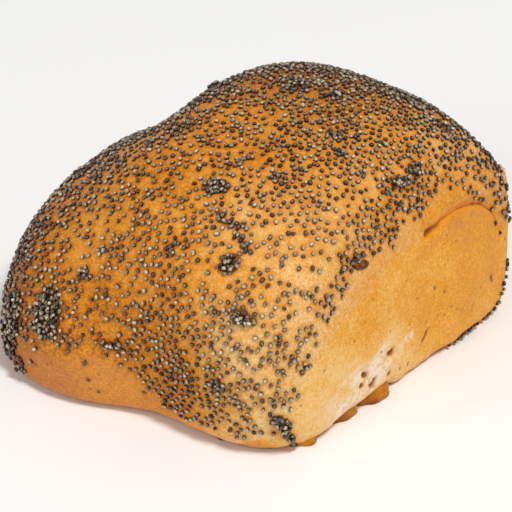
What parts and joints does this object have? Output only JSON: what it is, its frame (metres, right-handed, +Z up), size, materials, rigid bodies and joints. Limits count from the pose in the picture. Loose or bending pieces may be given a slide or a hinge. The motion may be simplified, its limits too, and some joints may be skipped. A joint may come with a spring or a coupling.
{
  "type": "poppy seed bread roll",
  "caption": "Soft baked bread roll with a glazed, seeded top, a waisted front and one flat bare side where it touched the next roll in the oven.",
  "frame": {"origin": "middle of the bounding box, at the flat base that the roll rests on", "axes": "+Z up; +X towards the flat bare side where the roll touched its neighbour; +Y along that side, towards its swollen far end; -Y faces the lower, waisted front"},
  "size_m": [0.097, 0.1045, 0.0613],
  "materials": {
    "crust": "satin egg-washed baked crust, golden brown, sprinkled with slate grey poppy seeds"
  },
  "bodies": {
    "root": {"bread_roll": "crust"}
  },
  "joints": []
}
